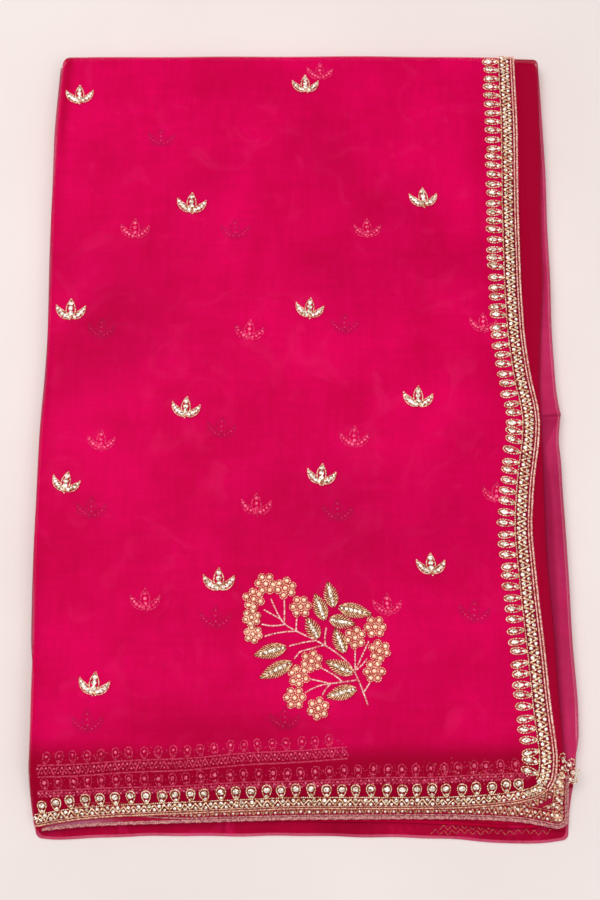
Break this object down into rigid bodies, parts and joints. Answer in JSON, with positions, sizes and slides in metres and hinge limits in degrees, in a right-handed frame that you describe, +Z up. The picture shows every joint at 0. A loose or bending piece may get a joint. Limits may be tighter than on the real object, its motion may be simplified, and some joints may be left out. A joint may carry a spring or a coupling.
{
  "type": "net saree, folded",
  "caption": "Hot-pink net saree folded flat, with beaded gold borders along its end and long edge, small petal motifs and a beaded corner spray.",
  "frame": {"origin": "middle of the underside, where the folded cloth lies on a surface", "axes": "+X across the folds towards the end border, +Y from the stacked hems to the big top fold, +Z up"},
  "size_m": [0.3728, 0.5682, 0.0245],
  "materials": {
    "net_hem": "sheer net, pale at the fold",
    "net_layers": "many layers of net, deep in tone",
    "net_fold": "sheer net fold, soft sheen",
    "net_second": "net in the shade of the layer above",
    "net_top": "sheer net with a soft sheen",
    "second_lace": "lace with gold zigzag stitches",
    "hem_lace": "gold beads and pale stones",
    "end_lace": "gold beads and pale stones",
    "spray_stem": "rose gold bead thread",
    "butti": "pale foiled stones in gold thread",
    "spray_flower": "champagne gold pearls",
    "spray_leaf": "gold bugle beads and silver stones"
  },
  "bodies": {
    "root": {"base_stretch": "net_hem", "folded_stack": "net_layers", "third_stretch": "net_fold", "second_stretch": "net_second", "top_stretch": "net_top", "second_border": "second_lace", "hem_border": "hem_lace", "end_border": "end_lace", "spray_stems": "spray_stem", "butti_01": "butti", "butti_02": "butti", "butti_03": "butti", "butti_04": "butti", "butti_05": "butti", "butti_06": "butti", "butti_07": "butti", "butti_08": "butti", "butti_09": "butti", "butti_10": "butti", "butti_11": "butti", "butti_12": "butti", "butti_13": "butti", "spray_flower_01": "spray_flower", "spray_flower_02": "spray_flower", "spray_flower_03": "spray_flower", "spray_flower_04": "spray_flower", "spray_flower_05": "spray_flower", "spray_flower_06": "spray_flower", "spray_flower_07": "spray_flower", "spray_flower_08": "spray_flower", "spray_flower_09": "spray_flower", "spray_flower_10": "spray_flower", "spray_flower_11": "spray_flower", "spray_flower_12": "spray_flower", "spray_flower_13": "spray_flower", "spray_flower_14": "spray_flower", "spray_leaf_01": "spray_leaf", "spray_leaf_02": "spray_leaf", "spray_leaf_03": "spray_leaf", "spray_leaf_04": "spray_leaf", "spray_leaf_05": "spray_leaf", "spray_leaf_06": "spray_leaf", "spray_leaf_07": "spray_leaf", "spray_leaf_08": "spray_leaf", "spray_leaf_09": "spray_leaf", "spray_leaf_10": "spray_leaf"}
  },
  "joints": []
}
